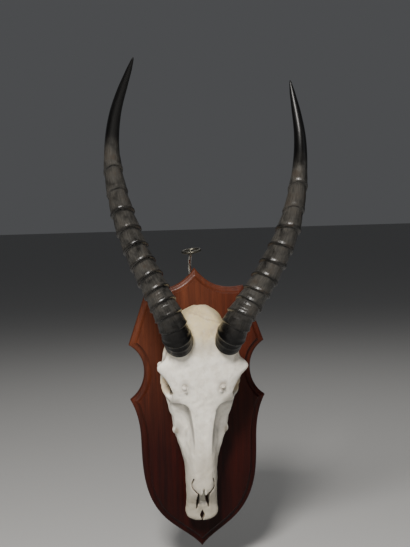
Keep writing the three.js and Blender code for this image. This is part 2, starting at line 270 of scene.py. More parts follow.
# Shield: a moulded board with a groove behind its top point
shield = {
    "groove": {"x": -6.4, "width": 6.0, "depth": 6.6, "foot": 158.0, "top": 204.0},
    # The right half from the top point down: its sides, each of Bezier curves with their steps
    "sides": [
        [([(0, 198), (25, 162.5), (68, 171.5)], 24)],
        [([(68, 171.5), (95.5, 92.5)], 12)],
        [([(95.5, 92.5), (68, 76), (68, 34), (95.5, 15)], 28)],
        [
            ([(95.5, 15), (83, -8), (82, -42)], 20),
            ([(82, -42), (81, -78), (82, -112), (62, -142)], 28),
            ([(62, -142), (45, -168), (16, -178), (0, -198)], 28),
        ],
    ],
    # How far the outline is set in at each height over the wall
    "moulding": [
        [0.5, 0.0], [0.0, 0.6], [0.0, 11.8], [0.3, 12.5], [1.2, 13.4], [2.6, 13.8], [4.2, 14.0],
        [5.6, 14.4], [6.8, 15.2], [7.8, 16.4], [8.5, 17.6], [9.0, 18.3], [9.2, 18.4], [9.3, 19.5],
        [9.7, 20.0],
    ],
    "sharpAngle": 28,
    "dark": (0.0085, 0.0006, 0.0004),
    "light": (0.0470, 0.0042, 0.0016),
    # Painted light: the tint of a lit patch over the upper left of the board
    "litUpperLeft": (0.125, 0.0370, 0.0165),
    "pores": (0.006, 0.0008, 0.0006),
    # Painted shade: the tint that the board is painted towards its bottom end
    "shadedLowEnd": (0.0060, 0.0005, 0.0004),
}


def bezier(points, steps):
    parts = np.linspace(0, 1, steps + 1)[:, None]
    points = [np.asarray(p, float) for p in points]
    while len(points) > 1:
        points = [a + (b - a) * parts for a, b in zip(points, points[1:])]
    return points[0]


def shieldSegments():
    right = []
    for curves in shield["sides"]:
        routes = [bezier(points, steps) for points, steps in curves]
        right.append(np.vstack([route[:-1] for route in routes[:-1]] + routes[-1:]))
    left = [segment[::-1] * [-1, 1] for segment in reversed(right)]
    return right + left


# The last edge of the first line and the first edge of the second that cross, and where
def crossingOf(first, second):
    tiny = 1e-9
    for i in range(len(first) - 1, 0, -1):
        for j in range(len(second) - 1):
            a, b = first[i - 1], first[i]
            c, d = second[j], second[j + 1]
            edge, other = b - a, d - c
            turn = edge[0] * other[1] - edge[1] * other[0]
            if abs(turn) < tiny / 1000:
                continue
            gap = c - a
            onFirst = (gap[0] * other[1] - gap[1] * other[0]) / turn
            onSecond = (gap[0] * edge[1] - gap[1] * edge[0]) / turn
            if -tiny <= onFirst <= 1 + tiny and -tiny <= onSecond <= 1 + tiny:
                return i - 1, j, a + edge * onFirst
    return None


def insetSegments(segments, inset):
    moved = []
    for segment in segments:
        tangent = unit(np.gradient(segment, axis=0))
        moved.append(segment + np.stack([tangent[:, 1], -tangent[:, 0]], axis=1) * inset)
    if inset > 0:
        count = len(moved)
        for i in range(count):
            first, second = moved[i], moved[(i + 1) % count]
            found = crossingOf(first, second)
            first[found[0] + 1:] = found[2]
            second[:found[1] + 1] = found[2]
    return np.vstack([segment[:-1] for segment in moved])


def buildShield():
    segments = shieldSegments()
    rings = []
    for inset, height in shield["moulding"]:
        outline = insetSegments(segments, inset)
        rings.append(np.column_stack([outline[:, 0], np.full(len(outline), -height), outline[:, 1]]))
    piece = makePiece("shield_board", np.vstack(rings), closedFaces(len(rings), len(rings[0])))
    turnFacesOut(piece, mergeDistance=1e-6)
    cutGroove(piece)
    piece.data.set_sharp_from_angle(angle=math.radians(shield["sharpAngle"]))
    return piece


def cutGroove(piece):
    groove = shield["groove"]
    behind = 2.0  # how far the cutter stands out behind the board
    middle = np.array([groove["x"], (behind - groove["depth"]) / 2, (groove["foot"] + groove["top"]) / 2])
    size = np.array([groove["width"], groove["depth"] + behind, groove["top"] - groove["foot"]])
    halves = (-0.5, 0.5)
    corners = [middle + size * (x, y, z) for x in halves for y in halves for z in halves]
    faces = [(0, 1, 3, 2), (4, 6, 7, 5), (0, 4, 5, 1), (2, 3, 7, 6), (0, 2, 6, 4), (1, 5, 7, 3)]
    cutter = makePiece("groove_cutter", corners, faces)
    cut = piece.modifiers.new("groove", "BOOLEAN")
    cut.operation = "DIFFERENCE"
    cut.solver = "EXACT"
    cut.object = cutter
    graph = bpy.context.evaluated_depsgraph_get()
    carved = bpy.data.meshes.new_from_object(piece.evaluated_get(graph))
    piece.modifiers.clear()
    piece.data = carved
    bpy.data.objects.remove(cutter)


def woodMaterial():
    material, shade = newMaterial("mahogany")
    spot = objectPlace(shade)
    grain = spot.scaled((190.0, 190.0, 7.0)).noise(1.0, 5.0, 0.62, 0.4)
    fibres = spot.scaled((900.0, 900.0, 26.0)).noise(1.0, 3.0, 0.6)
    pores = spot.scaled((1500.0, 1500.0, 70.0)).noise(1.0, 1.0, 0.5).ease(0.62, 0.74)
    broad = spot.scaled((26.0, 26.0, 2.4)).noise(1.0, 2.0, 0.5, 0.6)
    tone = (grain * 0.55 + fibres * 0.25 + broad * 0.45).ease(0.42, 0.92)
    base = tone.mix(opaque(shield["dark"]), opaque(shield["light"]))
    # Painted light: a lit patch over the upper left of the board, fading towards the right and the bottom
    upperLeftLight = spot.part("Z").ease(-0.08, 0.16) * spot.part("X").ease(-0.02, 0.08, 1.0, 0.35)
    base = (upperLeftLight * (0.38 + tone * 0.62)).mix(base, opaque(shield["litUpperLeft"]))
    base = (pores * 0.5).mix(base, opaque(shield["pores"]))
    # Painted shade: the board is painted darker towards its bottom end
    low = spot.part("Z").ease(-0.19, 0.0, 0.5, 0.0)
    base = low.mix(base, opaque(shield["shadedLowEnd"]))
    finishMaterial(shade, {
        "Base Color": base,
        "Roughness": 0.46 - tone * 0.1,
        "Specular IOR Level": 0.12,
        "Coat Weight": 0.07,
        "Coat Roughness": 0.2,
        "Normal": (fibres * 0.6 + grain * 0.4 - pores).bump(0.28, 0.0006),
    })
    return material


# Hanging eye: a ring on a wire shank that stands in the groove
hangingEye = {
    "wireRadius": 1.9,
    "ringRadius": 12.3,
    "ringMiddle": (-4.2, -14.6, 222.0),
    "ringTilts": (8.0, -8.0),
    "ringSteps": 72,
    "ringSides": 20,
    "shankX": -6.4,
    "shankRoute": [(-3, 161), (-3, 182), (-4.8, 199), (-13, 211)],
    "shankTop": (218, 224),
    "shankRadii": [2.5, 2.5, 2.5, 2.5, 2.5, 1.7],
    "shankSteps": 48,
    "shankSides": 24,
    "sharpAngle": 50,
    "plated": (0.50, 0.485, 0.45),
    "tarnished": (0.055, 0.050, 0.034),
}


def ringPoints():
    around = np.linspace(0, 2 * np.pi, hangingEye["ringSteps"], endpoint=False)
    across = np.linspace(0, 2 * np.pi, hangingEye["ringSides"], endpoint=False)
    reach = hangingEye["ringRadius"] + hangingEye["wireRadius"] * np.cos(across)
    points = np.empty((len(around), len(across), 3))
    points[..., 0] = np.cos(around)[:, None] * reach
    points[..., 1] = np.sin(around)[:, None] * reach
    points[..., 2] = hangingEye["wireRadius"] * np.sin(across)
    tiltX, tiltY = (math.radians(tilt) for tilt in hangingEye["ringTilts"])
    turn = Matrix.Rotation(tiltY, 3, "Y") @ Matrix.Rotation(tiltX, 3, "X")
    return points.reshape(-1, 3) @ np.array(turn).T + hangingEye["ringMiddle"]


def shankPoints():
    x = hangingEye["shankX"]
    frontY = hangingEye["ringMiddle"][1] - hangingEye["ringRadius"]
    neckZ, topZ = hangingEye["shankTop"]
    route = [(x, y, z) for y, z in hangingEye["shankRoute"]]
    route += [(x, frontY + 1.5, neckZ), (x, frontY, topZ)]
    places = np.linspace(0, 1, hangingEye["shankSteps"])
    middle, _, across, front = frameAlong(route, places)
    width = np.interp(places * (len(route) - 1), np.arange(len(route)), hangingEye["shankRadii"])
    radius = (width * roundedEnd(places, 0.05, 0.02))[:, None, None]
    angle = np.linspace(0, 2 * np.pi, hangingEye["shankSides"], endpoint=False)
    rings = middle[:, None] + radius * (
        across[:, None] * np.cos(angle)[None, :, None] - front[:, None] * np.sin(angle)[None, :, None]
    )
    return rings.reshape(-1, 3)


def buildEye():
    ring = ringPoints()
    shank = shankPoints()
    ringRoute = ringFaces(hangingEye["ringSteps"] + 1, hangingEye["ringSides"])
    shankFaces = closedFaces(hangingEye["shankSteps"], hangingEye["shankSides"])
    faces = [[corner % len(ring) for corner in face] for face in ringRoute]
    faces += [[corner + len(ring) for corner in face] for face in shankFaces]
    piece = makePiece("wire_eye", np.vstack([ring, shank]), faces, hangingEye["sharpAngle"])
    turnFacesOut(piece)
    return piece


def wireMaterial():
    material, shade = newMaterial("plated_wire")
    spot = objectPlace(shade)
    tarnish = spot.noise(420.0, 4.0, 0.6).ease(0.45, 0.72)
    scratches = spot.scaled((3000.0, 3000.0, 300.0)).noise(1.0, 2.0)
    # Tarnish in random patches, and everything above the shank's neck, the ring with it, painted dark
    tarnishAndDarkTop = (tarnish * 0.6).most(spot.part("Z").ease(0.2125, 0.218) * 0.9)
    finishMaterial(shade, {
        "Base Color": tarnishAndDarkTop.mix(opaque(hangingEye["plated"]), opaque(hangingEye["tarnished"])),
        "Metallic": 1.0,
        "Roughness": 0.2 + tarnishAndDarkTop * 0.2,
        "Normal": scratches.bump(0.08, 0.0002),
    })
    return material


# Horns: ringed sheaths along a curve
horns = {
    "baseHalfWidth": 18.5,
    "baseHalfDepth": 22.5,
    "tipDepthRatio": 1.05,
    "footInset": 0.8,
    "sides": 72,
    "stations": 520,
    "ringHeight": 3.2,
    "ringLean": 13.0,
    "rippleStep": 5.6,
    # Where each part of a ring lies, in gaps between rings, with its share of the ring's height
    "ringShape": [
        (-0.13, 0.0), (-0.1, 0.2), (-0.055, 0.85), (-0.01, 1.0), (0.04, 0.96), (0.1, 0.68), (0.18, 0.5),
        (0.32, 0.46), (0.5, 0.36), (0.68, 0.14), (0.8, 0.0),
    ],
    # The share of the base's width that is left at each part of the length
    "taper": [
        [0, 1], [0.08, 0.95], [0.2, 0.86], [0.35, 0.79], [0.48, 0.71], [0.6, 0.6], [0.7, 0.49], [0.8, 0.39],
        [0.9, 0.28], [0.96, 0.17], [0.99, 0.08], [1, 0.03],
    ],
    "left": {
        "route": [
            (-35, -124, 105), (-39, -137, 118), (-48, -147, 142), (-64, -155, 177), (-87, -168, 227),
            (-106, -186, 283), (-115, -205, 339), (-111, -229, 389), (-89, -266, 451),
        ],
        "rings": (12, 0.047, 0.633),  # how many, with the first and the last part of the length
        "seed": 3,
    },
    "right": {
        "route": [
            (29, -124, 105), (33, -137, 118), (42, -148, 139), (57, -158, 163), (80, -177, 205),
            (99, -197, 253), (108, -214, 304), (110, -222, 359), (101, -215, 430),
        ],
        "rings": (11, 0.050, 0.636),
        "seed": 8,
    },
    "black": (0.0014, 0.0013, 0.0013),
    # Painted sheen and wear: the lighter grey of the ringed middle
    "sheenAndWear": (0.0520, 0.0485, 0.0425),
    "brown": (0.030, 0.0170, 0.0085),
    "scuffed": (0.028, 0.026, 0.022),
}


# The rings' gaps grow towards the tip
def ringPlaces(count, first, last):
    step = np.arange(count) / (count - 1)
    return first + (last - first) * (0.64 * step + 0.36 * step**2)


def ridgeProfile(horn, parts, wobble):
    lastGap = 0.06
    places = ringPlaces(*horn["rings"])
    gaps = np.append(np.diff(places), lastGap)
    heights = horns["ringHeight"] * np.minimum(1, 0.7 + 0.1 * np.arange(len(places)))
    heights[-2:] *= 0.6
    stations = [0.0, 0.03]
    values = [0.0, 0.0]
    for spot, gap, height in zip(places, gaps, heights):
        for step, part in horns["ringShape"]:
            stations.append(spot + step * gap)
            values.append(part * height)
    stations += [places[-1] + lastGap, 1.0]
    values += [0.0, 0.0]
    return np.interp(parts + wobble, stations, values)


# Slow waves round the horn and along it, which keep its rings from being quite level
def ringWobble(chance, parts, angle):
    wobble = np.zeros((len(parts), len(angle)))
    for turns in range(1, 6):
        shift = chance.uniform(0, 2 * np.pi, 3)
        wobble += np.cos(turns * angle[None] + shift[0] + parts[:, None] * 9 * shift[1]) / turns
    return wobble * (0.0022 * ease(parts, 0.02, 0.1)[:, None])


def striations(chance, parts, angle):
    relief = np.zeros((len(parts), len(angle)))
    for turns in (17, 23, 31):
        shift = chance.uniform(0, 2 * np.pi, 2)
        relief += np.cos(turns * angle[None] + shift[0] + parts[:, None] * 14 * shift[1])
    return relief * (0.07 * ease(parts, 0.06, 0.12)[:, None] * (1 - ease(parts, 0.62, 0.75))[:, None])


# Low close ripples on the front of the base, below the first rings
def baseRipples(parts, angle, wobble, length):
    waves = np.sin(2 * np.pi * (parts[:, None] + wobble) * length / horns["rippleStep"])
    part = ease(parts, 0.012, 0.03) * (1 - ease(parts, 0.16, 0.24))
    return 0.55 * np.maximum(0, waves) ** 2 * part[:, None] * np.clip(-np.sin(angle), 0, 1)[None]


def taperAt(parts):
    table = np.array(horns["taper"])
    return np.interp(parts, table[:, 0], table[:, 1])


def buildHorn(name, horn):
    sides = horns["sides"]
    stations = horns["stations"]
    parts = np.linspace(0, 1, stations) ** 0.97  # a little closer together towards the tip
    angle = np.linspace(0, 2 * np.pi, sides, endpoint=False)
    places, length = evenPlaces(horn["route"], parts)
    middle, along, across, facing = frameAlong(horn["route"], places)
    halfWidth = horns["baseHalfWidth"] * taperAt(parts)
    depthRatio = horns["baseHalfDepth"] / horns["baseHalfWidth"]
    halfDepth = halfWidth * (depthRatio + (horns["tipDepthRatio"] - depthRatio) * parts)
    chance = np.random.default_rng(horn["seed"])
    wobble = ringWobble(chance, parts, angle)
    ridge = ridgeProfile(horn, parts[:, None], wobble)
    foot = -horns["footInset"] * (1 - ease(parts, 0.0, 0.006))[:, None]
    extra = ridge * (0.75 - 0.35 * np.sin(angle)[None]) + striations(chance, parts, angle) + foot
    extra = extra + baseRipples(parts, angle, wobble, length)
    tip = roundedEnd(parts, 0.008, 0.01)[:, None]
    wide = (halfWidth[:, None] + extra) * tip * np.cos(angle)[None]
    deep = (halfDepth[:, None] + extra) * tip * np.sin(angle)[None]
    lean = horns["ringLean"] * ease(parts, 0.02, 0.13) * (1 - ease(parts, 0.7, 0.95))
    back = lean[:, None] * np.sin(angle)[None]
    points = middle[:, None] + across[:, None] * wide[..., None] - facing[:, None] * deep[..., None]
    points = points - along[:, None] * back[..., None]
    piece = makePiece(name, points.reshape(-1, 3), closedFaces(stations, sides))
    addAttribute(piece, "ridge", (ridge / horns["ringHeight"]).ravel())
    addAttribute(piece, "part", np.repeat(parts, sides))
    addAttribute(piece, "turn", np.tile(angle / (2 * np.pi), stations))
    return piece


def hornMaterial():
    material, shade = newMaterial("horn")
    spot = objectPlace(shade)
    ridge = attribute(shade, "ridge")
    part = attribute(shade, "part")
    turn = attribute(shade, "turn")
    wrapped = shade.make("ShaderNodeCombineXYZ", None, {
        0: (turn * (2 * math.pi)).cosine() * 3.0,
        1: (turn * (2 * math.pi)).sine() * 3.0,
        2: part * 5.0,
    })
    fibres = wrapped.noise(7.0, 4.0, 0.6)
    patches = spot.noise(60.0, 4.0, 0.6)
    scuffs = spot.noise(260.0, 3.0, 0.6)
    ringed = part.ease(0.66, 0.74, 1.0, 0.0) * part.ease(0.05, 0.16)
    # Painted sheen together with wear: the ringed middle is painted lighter grey in patches, most on the
    # barrels between the ridges' crests
    sheenAndWear = ringed * (0.5 + fibres.ease(0.35, 0.7) * 0.6) * ridge.ease(0.6, 1.0, 1.0, 0.35)
    sheenAndWear = sheenAndWear * patches.ease(0.2, 0.58)
    base = sheenAndWear.least(1.0).mix(opaque(horns["black"]), opaque(horns["sheenAndWear"]))
    brown = patches.ease(0.5, 0.68) * ringed * fibres.ease(0.35, 0.6)
    base = (brown * 0.5).mix(base, opaque(horns["brown"]))
    base = (scuffs.ease(0.6, 0.75) * ringed * 0.3).mix(base, opaque(horns["scuffed"]))
    smoothEnds = part.ease(0.62, 0.8, 0.5, 0.1) * part.ease(0.0, 0.14, 0.35, 1.0)
    finishMaterial(shade, {
        "Base Color": base,
        "Roughness": 0.22 + fibres * 0.14 + part.ease(0.66, 0.9) * 0.14,
        "Specular IOR Level": 0.22,
        "Coat Weight": part.ease(0.01, 0.14) * part.ease(0.66, 0.9, 0.25, 0.1),
        "Coat Roughness": 0.24,
        "Normal": (fibres * 0.8 + scuffs * 0.3).bump(smoothEnds, 0.0012),
    })
    return material


# Skull: the middle plane is x = 0, s runs from the nose to the nape and v is the height over
# the chewing face of the teeth, towards the viewer
skull = {
    "length": 300.0,
    "offset": (-3.0, -30.4, -152.0),
    "tilt": 3.5,
    "cell": 1.3,
    "fineCell": 0.9,
    # The grid's ends, and how far along it the cells are fine
    "grid": {"x": (0, 20, 68), "s": (-5, 66, 308), "v": (-4, -4, 124)},
    # Each section has its s and the right half of its outline as (x, v), from the top down
    "sections": [
        (1, [(0, 22), (5, 22), (9, 20), (9.5, 17), (6, 14), (0, 14)]),
        (5, [(0, 24), (10, 24), (16.5, 21), (17.5, 17), (12, 13), (0, 13)]),
        (12, [(0, 25), (12, 26), (20.5, 22), (22, 17), (17, 12.5), (0, 12.5)]),
        (26, [(0, 33), (10, 33), (19.5, 27), (21.5, 18), (18, 12), (0, 12)]),
        (42, [(0, 51), (9, 49.5), (17.5, 40), (21, 25), (18, 13), (0, 13)]),
        (62, [(0, 57.5), (11, 55.5), (18.5, 45), (21.5, 28), (19, 14), (0, 15)]),
        (84, [(0, 63.5), (12, 62), (19, 50), (22, 32), (21, 15), (0, 19)]),
        (98, [(0, 68), (12.5, 66), (20, 53), (25.5, 34), (24, 15), (0, 21)]),
        (112, [(0, 72), (13, 70.5), (22, 56), (30, 36), (27, 15), (0, 22)]),
        (130, [(0, 77), (13.5, 75.5), (25, 60), (36, 39), (30, 15), (0, 23)]),
        (148, [(0, 83), (15, 81.5), (26, 66), (38, 48), (32, 16), (0, 24)]),
        (164, [(0, 88.5), (19, 87), (32, 74), (42, 58), (33, 20), (0, 25)]),
        (176, [(0, 93), (27, 91), (38, 84), (42, 66), (28, 28), (0, 27)]),
        (192, [(0, 99.5), (33, 97), (43, 90), (35, 66), (22, 34), (0, 29)]),
        (206, [(0, 105), (40, 101.5), (51, 93), (33, 70), (20, 38), (0, 30)]),
        (219, [(0, 109.5), (46, 104.5), (60, 96), (34, 72), (20, 40), (0, 29)]),
        (232, [(0, 113.5), (42, 109), (49, 99), (32, 74), (21, 41), (0, 28)]),
        (248, [(0, 116), (36, 112), (38, 98), (32, 74), (23, 42), (0, 28)]),
        (264, [(0, 112), (27, 107), (33, 90), (32, 68), (26, 40), (0, 29)]),
        (280, [(0, 103), (21, 98), (29, 80), (31, 60), (26, 38), (0, 31)]),
        (291, [(0, 95), (14, 92), (22, 76), (24, 56), (20, 40), (0, 37)]),
        (300, [(0, 88), (6, 86), (9, 79), (9, 71), (6, 66), (0, 64)]),
    ],
    # The edge of the face hollow at the nasal bridge: s, and how far it is from the middle
    "hollowEdge": [
        (60, 95, 114, 131, 147, 159.5, 165, 168.5, 170.5),
        (10.5, 11, 11.2, 12.4, 14.8, 16.8, 19.5, 23, 30),
    ],
    "hollowTop": 170.5,
    "hollowDepth": 9.0,
    "toothLengths": [9, 10.5, 12, 14.5, 16.5, 17.5],
    "toothRowFront": 84.0,
    # The front tooth's value, and how much is added from tooth to tooth
    "toothX": (17.5, 1.9),
    "toothHalfWidth": (4.2, 0.4),
    "lobePlaces": (0.25, 0.74),
    "lobeReach": 0.27,
    "crownHeight": 22.0,
    "tints": {
        "bleached": (0.86, 0.82, 0.725),
        # Painted shade: the darker tint towards the nose
        "nose": (0.31, 0.27, 0.20),
        "crown": (0.47, 0.37, 0.165),
        "crownStains": (0.26, 0.18, 0.085),
        "mottled": (0.53, 0.475, 0.375),
        "socket": (0.56, 0.41, 0.215),
        # Painted light: the tint of the bar between the nose slots, which lies in shadow
        "noseBarLight": (0.88, 0.83, 0.72),
        # Painted shade in the wide hollows
        "shaded": (0.28, 0.26, 0.235),
        # Painted shadow along the inside of the face hollow's edge
        "rimShadow": (0.25, 0.235, 0.21),
        "streaks": (0.46, 0.42, 0.35),
        # Painted shade in recesses and crevices, this tint and the next
        "recessShade": (0.33, 0.24, 0.145),
        "creviceShade": (0.20, 0.17, 0.13),
        "teeth": (0.52, 0.40, 0.22),
        "seams": (0.34, 0.25, 0.16),
        "pits": (0.40, 0.31, 0.20),
    },
}


def gridAxis(name):
    low, fineEnd, high = skull["grid"][name]
    fine = np.arange(low, fineEnd, skull["fineCell"])
    return np.concatenate([fine, np.arange(fineEnd, high, skull["cell"])])


def skullGrid():
    right = gridAxis("x")
    x = np.concatenate([-right[:0:-1], right])
    return x, gridAxis("s"), gridAxis("v")


def sparseGrid(x, s, v):
    axes = [axis.astype(np.float32) for axis in (x, s, v)]
    return np.meshgrid(*axes, indexing="ij", sparse=True)


# The height of one outline point of some sections, at any s
def heightOf(point, sections, s):
    places = [place for place, half in sections]
    return np.interp(s, places, [half[point][1] for place, half in sections])


def sectionOutlines(heights):
    knots = np.array([s for s, half in skull["sections"]], float)
    rings = []
    for s, half in skull["sections"]:
        left = [(-x, v) for x, v in half[-2:0:-1]]
        rings.append(smoothCurve(list(half) + left, np.arange(48) / 48, closed=True))
    rings = np.array(rings)
    slopes = np.gradient(rings, knots, axis=0)
    low = np.clip(np.searchsorted(knots, heights) - 1, 0, len(knots) - 2)
    width = (knots[low + 1] - knots[low])[:, None, None]
    t = np.clip((heights - knots[low]) / (knots[low + 1] - knots[low]), 0, 1)[:, None, None]
    first = (2 * t**3 - 3 * t**2 + 1) * rings[low] + (t**3 - 2 * t**2 + t) * width * slopes[low]
    second = (3 * t**2 - 2 * t**3) * rings[low + 1] + (t**3 - t**2) * width * slopes[low + 1]
    return first + second


# How far each (x, v) is from the outline, less than 0 inside it
def outlineDistance(outline, x, v):
    a = outline
    b = np.roll(outline, -1, axis=0)
    edge = b - a
    gapX = x[:, None, None] - a[None, None, :, 0]
    gapV = v[None, :, None] - a[None, None, :, 1]
    reach = (gapX * edge[:, 0] + gapV * edge[:, 1]) / (edge**2).sum(1)
    reach = np.clip(reach, 0, 1)
    offX = gapX - reach * edge[:, 0]
    offV = gapV - reach * edge[:, 1]
    near = np.sqrt((offX**2 + offV**2).min(axis=2))
    spans = (a[:, 1] > v[None, :, None]) != (b[:, 1] > v[None, :, None])
    rise = np.where(np.abs(edge[:, 1]) < 1e-9, 1e-9, edge[:, 1])
    crossX = a[:, 0] + (v[None, :, None] - a[:, 1]) / rise * edge[:, 0]
    inside = (spans & (x[:, None, None] < crossX)).sum(axis=2) % 2 == 1
    return np.where(inside, -near, near)


def faceAndBraincase(x, s, v):
    nose = skull["sections"][0][0]
    nape = skull["length"]
    field = np.empty((len(x), len(s), len(v)), np.float32)
    for j, outline in enumerate(sectionOutlines(np.clip(s, nose, nape))):
        field[:, j] = outlineDistance(outline, x, v)
    past = np.maximum(nose - s, s - nape)[None, :, None]
    return merged(-field, -past.astype(np.float32) + 0 * field, 2.0, -1)


# Two fields joined with a fillet of a width; a sign of -1 turns the result inside out
def merged(first, second, width, sign=1):
    part = np.clip(0.5 + 0.5 * (second - first) / width, 0, 1)
    return sign * (second * (1 - part) + first * part - width * part * (1 - part))


def carved(solid, hollow, width):
    return merged(-solid, hollow, width, -1)


def ball(grid, centre, radii):
    parts = [(axis - middle) / radius for axis, middle, radius in zip(grid, centre, radii)]
    far = np.sqrt(parts[0] ** 2 + parts[1] ** 2 + parts[2] ** 2)
    return (far - 1) * min(radii)


# A rounded bar with a radius at each point of its route
def bar(grid, route, widths, flatness=1.0):
    x, s, v = grid
    best = None
    for (a, b), (wide0, wide1) in zip(zip(route, route[1:]), zip(widths, widths[1:])):
        a = np.array(a, float)
        b = np.array(b, float)
        edge = b - a
        along = ((x - a[0]) * edge[0] + (s - a[1]) * edge[1] + (v - a[2]) * edge[2]) / (edge @ edge)
        along = np.clip(along, 0, 1)
        offX = x - a[0] - along * edge[0]
        offS = s - a[1] - along * edge[1]
        offV = (v - a[2] - along * edge[2]) / flatness
        near = np.sqrt(offX**2 + offS**2 + offV**2) - (wide0 + (wide1 - wide0) * along)
        best = near if best is None else np.minimum(best, near)
    return best


# A round ring of bone that faces in a direction
def hoop(grid, centre, facing, radius, width):
    facing = np.array(facing) / np.linalg.norm(facing)
    offs = [axis - middle for axis, middle in zip(grid, centre)]
    depth = sum(off * part for off, part in zip(offs, facing))
    across = np.sqrt(np.maximum(sum(off**2 for off in offs) - depth**2, 0))
    return np.sqrt((across - radius) ** 2 + depth**2) - width


# A straight hole with corners in (x, s), between two heights
def shaft(grid, corners, low, high):
    x, s, v = grid
    flat = outlineDistance(np.array(corners, float), x.ravel(), s.ravel())[:, :, None]
    return np.maximum(flat, np.maximum(low - v, v - high))


# A seam cut into the top of the nose along a route in (x, s)
def groove(grid, route, halfWidth, depth):
    x, s, v = grid
    top = heightOf(0, skull["sections"][3:6], s)
    flat = bar((x, s, np.zeros((1, 1, 1))), [(a, b, 0) for a, b in route], [halfWidth] * len(route))
    return np.maximum(flat, top - depth - v)


# Slow waves and small ones, so that no stretch of bone is quite even, in millimetres
def unevenness(grid):
    x, s, v = grid
    slow = np.sin(0.31 * x + 1.7 * np.sin(0.13 * s)) * np.sin(0.27 * s + 1.1 * np.sin(0.21 * v))
    slow = slow * np.cos(0.29 * v + 0.17 * x)
    small = np.sin(0.83 * x + 0.9 * np.sin(0.41 * s)) * np.sin(0.71 * s + np.sin(0.6 * v))
    small = small * np.sin(0.77 * v + 0.3 * x)
    return (0.42 * slow + 0.2 * small).astype(np.float32)


# The deep hollow beside the nasal bridge, with a crisp edge at the bridge and below the eye
def faceHollow(grid):
    x, s, v = grid
    edge = np.interp(s, skull["hollowEdge"][0], skull["hollowEdge"][1])
    side = heightOf(3, skull["sections"][6:13], s)
    top = skull["hollowTop"]
    mask = ease(np.abs(x) - edge, 0, 2.2) * (1 - ease(s, top - 1.1, top + 1.1)) * ease(v - side, 4, 13)
    depth = skull["hollowDepth"] * ease(s, 88, 145) * (1 - 0.45 * ease(np.abs(x), 24, 38))
    return (mask * depth).astype(np.float32)


def toothRow(grid):
    x, s, v = grid
    firstX, outwards = skull["toothX"]
    firstHalfWidth, widening = skull["toothHalfWidth"]
    start = skull["toothRowFront"]
    row = None
    for i, length in enumerate(skull["toothLengths"]):
        for part in skull["lobePlaces"]:
            middleS = start + part * length
            middleX = firstX + outwards * (i + part - 0.5)
            halfWidth = firstHalfWidth + widening * i
            halfLength = skull["lobeReach"] * length
            across = np.sqrt(((x - middleX) / halfWidth) ** 2 + ((s - middleS) / halfLength) ** 2)
            lobe = (across - 1) * halfLength
            row = lobe if row is None else merged(row, lobe, 0.7)
        start += length
    chewHeight = 0.45
    chew = chewHeight * np.cos((s - skull["toothRowFront"]) * 0.9)
    ends = np.maximum(chewHeight + chew - v, v - skull["crownHeight"] - 4)
    return np.maximum(row, ends)


# Each shape that is joined to the loft, with the width of its fillet
def grownParts(grid):
    socketRim = hoop(grid, (42.5, 195.5, 74), (0.86, -0.22, 0.46), 19.6, 3.0)
    archRoute = [(34, 160, 46), (43, 178, 53), (47, 197, 55), (47, 216, 57), (45, 240, 60), (34, 266, 62)]
    cheekArch = bar(grid, archRoute, [7, 4.6, 5, 5.4, 4, 5], 1.2)
    barBehindEye = bar(grid, [(54, 220, 94), (55, 223, 76), (48, 220, 58)], [5.2, 3.6, 3.8])
    cheekTubercle = ball(grid, (35.0, 130, 39), (3.3, 4.6, 7))
    browKnob = ball(grid, (25.5, 192.5, 98.6), (2.8, 3.2, 4.4))
    smallBrowKnob = ball(grid, (23.6, 187.4, 96.0), (2.5, 2.8, 4))
    earBulla = ball(grid, (21, 268, 24), (8, 12, 10))
    earTube = bar(grid, [(24, 272, 36), (38, 275, 44)], [5.5, 4.0])
    neckProcess = bar(grid, [(24, 278, 42), (26, 279, 25), (24, 277, 8)], [6.2, 4.6, 2])
    neckCondyle = ball(grid, (11, 284, 41), (8, 9, 8))
    palateWing = ball(grid, (11.5, 195, 25), (2.4, 28, 15))
    napeCrest = bar(grid, [(0, 294.5, 88), (15, 287.5, 81), (23, 273, 62)], [2.6, 2.2, 1.8])
    return [
        (socketRim, 4.0), (cheekArch, 5.0), (barBehindEye, 4.0), (cheekTubercle, 2.6), (browKnob, 1.6),
        (smallBrowKnob, 1.6), (earBulla, 3.0), (earTube, 3.0), (neckProcess, 3.0), (neckCondyle, 3.0),
        (palateWing, 1.5), (napeCrest, 4.0), (toothRow(grid), 1.0),
    ]


# Each shape that is cut out, with the width of its rounded edge
def hollowParts(grid):
    eyeSocket = ball(grid, (48, 195.5, 72.5), (20, 18, 17.5))
    noseInside = ball(grid, (0, 36, 36), (9, 18, 9))
    slot = [(5.4, 42.5), (8.2, 37), (8.9, 27), (8.2, 19), (5.9, 27), (4.4, 36)]
    noseSlot = shaft(grid, slot, 6, 56)
    frontHole = [(-2, 16.5), (0, 16.5), (1.4, 12.6), (3.1, 9.2), (2.2, 6), (0.8, 3.6), (0.7, -5), (-2, -5)]
    noseFrontHole = shaft(grid, frontHole, 6, 34)
    opening = [
        (-2, 50.5), (0.4, 50.5), (1.7, 44), (2.6, 40.6), (5.6, 41.8), (7.8, 44), (8.6, 37), (8, 26), (-2, 26),
    ]
    noseOpening = shaft(grid, opening, 32, 60)
    noseSeam = groove(grid, [(13, 64), (15.6, 56.5), (14.4, 50.8), (10.2, 46), (4.8, 41)], 0.7, 10.0)
    spinalOpening = ball(grid, (0, 302, 50), (8, 9, 22))
    throat = ball(grid, (0, 194, 27), (8.5, 13, 26))
    browGroove = ball(grid, (43.5, 231, 111), (4.6, 18, 5))
    return [
        (eyeSocket, 2.5), (noseInside, 2.0), (noseSlot, 0.6), (noseFrontHole, 0.6), (noseOpening, 0.5),
        (noseSeam, 0.5), (spinalOpening, 2.0), (throat, 3.0), (browGroove, 3.0),
    ]


